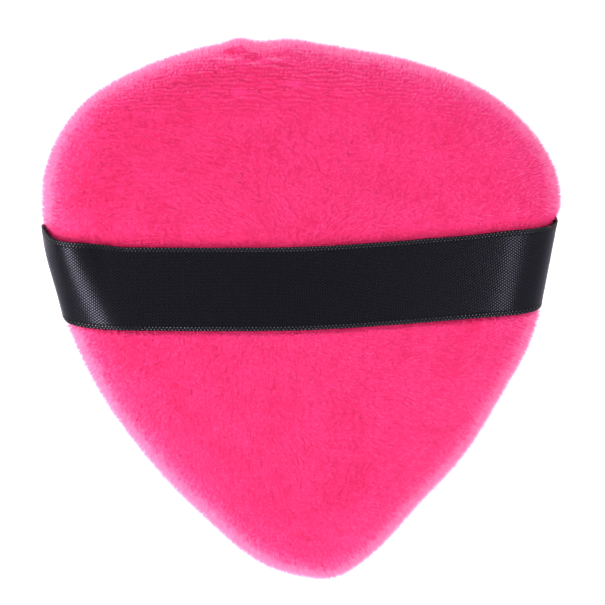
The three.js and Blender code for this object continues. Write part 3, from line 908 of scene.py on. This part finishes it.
def makeRibbon():
    # Ribbon: straight rulings carried along the stations, with a closed section. Selvedge
    # dots are two staggered rows of bumps, height = h (cos(along) - (off the row / width)^2).
    places, rulings = ribbonMiddles, ribbonRulings
    along = unit(np.gradient(places, axis=0))
    across = unit(rulings)
    upward = unit(np.cross(along, across))
    run = lengthAlong(places)
    steps, underSteps = satin["acrossSteps"], satin["underSteps"]
    half = ribbon["width"] / 2
    v = np.sin(np.linspace(-1, 1, steps + 1) * math.pi / 2)      # closer together at the edges
    offset = v * half
    fromEdge = half - np.abs(offset)
    slant = np.sum(rulings * along, axis=1)
    thread = run[:, None] + slant[:, None] * v       # the weft runs square to the edges
    turn = 2 * np.pi * thread / satin["dotPitch"]
    dots = np.zeros((len(run), steps + 1))
    for line, phase in satin["dotRows"]:
        off = (fromEdge - line) / satin["dotWidth"]
        dots = np.maximum(dots, np.cos(turn + phase) - off**2)
    over = ribbon["thickness"] / 2 + satin["dotHeight"] * dots
    over = over - 0.1 * np.clip(1 - fromEdge / 0.15, 0, 1) ** 2
    top = places[:, None] + rulings[:, None] * v[:, None] + upward[:, None] * over[..., None]
    under = np.linspace(1, -1, underSteps + 1)
    below = (places[:, None] + rulings[:, None] * under[:, None]
             - upward[:, None] * ribbon["thickness"] / 2)
    section = np.concatenate([top, below], axis=1)
    across = np.concatenate([v, under])
    corner = np.clip((across - 0.3) / 0.7, 0, 1) ** 2
    off = (places[:, 2] - form["seamHeight"] - satin["cornerHeight"]) / satin["cornerReach"]
    atRim = np.where(places[:, 0] < 0, np.exp(-off**2), 0)
    shift = atRim[:, None] * corner
    section[..., 0] += satin["cornerIn"] * shift
    section[..., 1] += satin["cornerRise"] * shift
    # Twist: the left shoulder's upper edge is turned up and its lower edge down, smooth steps
    # from where it begins to its peak and on to its end
    begin, peak, end = (satin[name] for name in ("twistFrom", "twistPeak", "twistTo"))
    middle = places[:, 0]
    grow = np.clip((begin - middle) / (begin - peak), 0, 1)
    fade = np.clip((middle - end) / (peak - end), 0, 1)
    share = smooth(grow) * smooth(fade)
    share[places[:, 2] < form["seamHeight"] + backPanel["bulge"]] = 0
    section += upward[:, None] * (satin["twist"] * share[:, None] * (0.35 + across))[..., None]
    count, width = section.shape[:2]
    station, column, triangles = closedRows(count, width)
    fan = np.arange(1, width - 1)
    ends = np.vstack([np.stack([np.zeros_like(fan), fan, fan + 1], 1),
                      np.stack([np.zeros_like(fan), fan + 1, fan], 1) + (count - 1) * width])
    faces = np.vstack([triangles, ends])
    piece = meshFrom("satin_ribbon", section.reshape(-1, 3), faces)
    uv = np.zeros((count, width, 2))
    uv[..., 0] = run[:, None]
    uv[:, :steps + 1, 0] = thread
    uv[:, :steps + 1, 1] = offset
    uv[:, steps + 1:, 1] = 2 * half + 1 + half * -under
    writeMap(piece, (uv * mapScale).reshape(-1, 2)[faces], "ribbonPlace")
    # Map: the length is cut into strips, the face's on the left and the underside's beside
    # them, each with the wall that follows it
    strips = satin["mapStrips"]
    onFace = column <= steps
    strip = np.minimum(station * strips // (count - 1), strips - 1)
    start = -(-strip * (count - 1) // strips)
    quadMap = []
    for stationStep, columnStep in ((0, 0), (1, 0), (1, 1), (0, 1)):
        spot = column + columnStep
        below = np.clip(spot - steps - 1, 0, underSteps)
        level = np.where(onFace, v[np.minimum(spot, steps)], -under[below])
        level = np.where((onFace & (spot > steps)) | (spot >= width), 1.04, level)
        onward = (station + stationStep - start) * strips / (count - 1)
        quadMap.append(np.stack([0.01 + 0.5 * ~onFace + 0.47 * onward,
                                 (strip + 0.04 + 0.45 * (level + 1)) / strips], -1))
    quadMap = halved(np.stack(quadMap, 2).reshape(-1, 4, 2))
    writeMap(piece, np.vstack([quadMap, np.full((len(ends), 3, 2), 0.995)]))
    finishPiece(piece, makeRibbonMaterial(), "satin_ribbon", "finger_strap")
    print("ribbon:", len(triangles), "triangles,", round(run[-1], 1), "mm long")


makeRibbon()


# Hidden insides: the foam pad and the threads keep their solids and get their finish

def makeFoamMaterial():
    material, tree, shader = newMaterial("foamPad", Roughness=0.95)
    place = tree.nodes.new("ShaderNodeTexCoord")
    pores = node(tree, "ShaderNodeTexVoronoi", Vector=place.outputs["Object"], Scale=1400.0)
    pores = pores.outputs["Distance"]
    # The pores are painted darker: painted shade in the holes
    colour = mixColours(tree, pores, (0.5, 0.07, 0.2, 1), (0.86, 0.2, 0.4, 1))
    bump = node(tree, "ShaderNodeBump", Strength=0.5, Distance=0.0004, Height=pores)
    setSockets(tree, shader, Base_Color=colour, Normal=bump.outputs["Normal"])
    return material


def makeThreadMaterial():
    material, tree, shader = newMaterial("sewingThread", Roughness=0.5, Sheen_Weight=0.2)
    colour = mixColours(tree, mottle(tree, 900.0), (0.66, 0.05, 0.17, 1), (0.86, 0.09, 0.27, 1))
    place = tree.nodes.new("ShaderNodeTexCoord")
    twist = node(tree, "ShaderNodeTexWave", Vector=place.outputs["Object"], Scale=1500.0,
                 Distortion=1.0)
    twist.bands_direction = "DIAGONAL"
    bump = node(tree, "ShaderNodeBump", Strength=0.4, Distance=0.0001, Height=twist.outputs["Fac"])
    setSockets(tree, shader, Base_Color=colour, Normal=bump.outputs["Normal"])
    return material


def dressNodes(material, *names):
    for name in names:
        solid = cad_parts[name]
        solid.data.materials.clear()
        solid.data.materials.append(material)


dressNodes(makeFoamMaterial(), "foam_core")
dressNodes(makeThreadMaterial(), "seam_needle_thread", "seam_bobbin_thread", "closing_thread")


# Studio: pale floor, soft light from all sides, most of it from the left, camera overhead

studio = {
    "frameWidth": 0.09308,       # what the picture's width covers at the height of the rim
    "aim": (0.00038, 0.00077),
    "cameraHeight": 0.6,
    "rimHeight": 0.0095,
    "floorSize": 3.0,
    "floorColour": (0.86, 0.86, 0.86, 1),
    "horizonStrength": 1.1,
    "zenithStrength": 0.18,
    "lampDistance": 0.7,
}


def makeCamera():
    data = bpy.data.cameras.new("camera")
    data.sensor_width = 36.0
    data.lens = 36.0 * (studio["cameraHeight"] - studio["rimHeight"]) / studio["frameWidth"]
    camera = bpy.data.objects.new("camera", data)
    camera.location = (*studio["aim"], studio["cameraHeight"])
    bpy.context.collection.objects.link(camera)
    bpy.context.scene.camera = camera


def chooseByRay(tree, light, picture):
    # One shader for the light that falls on the object, another for what the camera sees
    path = tree.nodes.new("ShaderNodeLightPath")
    choose = tree.nodes.new("ShaderNodeMixShader")
    feed(tree, choose.inputs, (path.outputs["Is Camera Ray"], light.outputs[0], picture.outputs[0]))
    return choose.outputs[0]


def makeFloor():
    # Floor: lit like paper, with white added where the camera sees it
    half = studio["floorSize"] / 2 / mm
    corners = np.array([(-half, -half, 0), (half, -half, 0), (half, half, 0), (-half, half, 0)])
    floor = meshFrom("floor", corners, np.array([[0, 1, 2, 3]]), smooth=False)
    material, tree, shader = newMaterial("paperFloor", Base_Color=studio["floorColour"],
                                         Roughness=0.9, Specular_IOR_Level=0.0)
    dark, white = (node(tree, "ShaderNodeEmission", Strength=strength) for strength in (0.0, 0.5))
    add = tree.nodes.new("ShaderNodeAddShader")
    feed(tree, add.inputs, (shader.outputs[0], chooseByRay(tree, dark, white)))
    setSockets(tree, tree.nodes["Material Output"], Surface=add.outputs[0])
    floor.data.materials.append(material)


def makeWorld():
    world = bpy.data.worlds.new("studio")
    world.use_nodes = True
    tree = world.node_tree
    white = (1, 1, 1, 1)
    # The sky falls off from the horizon to straight above, where the camera hangs
    place = tree.nodes.new("ShaderNodeTexCoord")
    parts = node(tree, "ShaderNodeSeparateXYZ", Vector=place.outputs["Generated"])
    fall = node(tree, "ShaderNodeMapRange", Value=parts.outputs[2],
                To_Min=studio["horizonStrength"], To_Max=studio["zenithStrength"])
    sky = tree.nodes["Background"]
    setSockets(tree, sky, Color=white, Strength=fall.outputs["Result"])
    seen = node(tree, "ShaderNodeBackground", Color=white, Strength=1.0)
    setSockets(tree, tree.nodes["World Output"], Surface=chooseByRay(tree, sky, seen))
    bpy.context.scene.world = world


lamps = [
    # name, azimuth from +X and height over the table in degrees, size, watts
    ("leftSoftbox", 200.0, 46.0, (0.5, 0.15), 4.7),
    ("rightSoftbox", -6.0, 59.0, (0.4, 0.12), 1.6),
    ("lowSoftbox", 288.0, 40.0, (0.6, 0.25), 2.1),
    ("topSoftbox", 128.0, 40.0, (0.6, 0.25), 3.4),
    ("farSoftbox", 45.0, 22.0, (0.5, 0.2), 1.7),
    ("nearSoftbox", 300.0, 22.0, (0.5, 0.2), 1.6),
]


def makeLamps():
    distance = studio["lampDistance"]
    for name, azimuth, height, size, watts in lamps:
        data = bpy.data.lights.new(name, "AREA")
        data.shape = "RECTANGLE"
        data.size, data.size_y = size
        data.energy = watts
        lamp = bpy.data.objects.new(name, data)
        turn, lift = math.radians(azimuth), math.radians(height)
        lamp.location = (distance * math.cos(lift) * math.cos(turn),
                         distance * math.cos(lift) * math.sin(turn), distance * math.sin(lift))
        lamp.rotation_euler = (math.radians(90) - lift, 0, turn + math.radians(90))
        bpy.context.collection.objects.link(lamp)


makeCamera()
makeFloor()
makeWorld()
makeLamps()
bpy.context.scene.view_settings.view_transform = "Standard"
print("studio: ready")
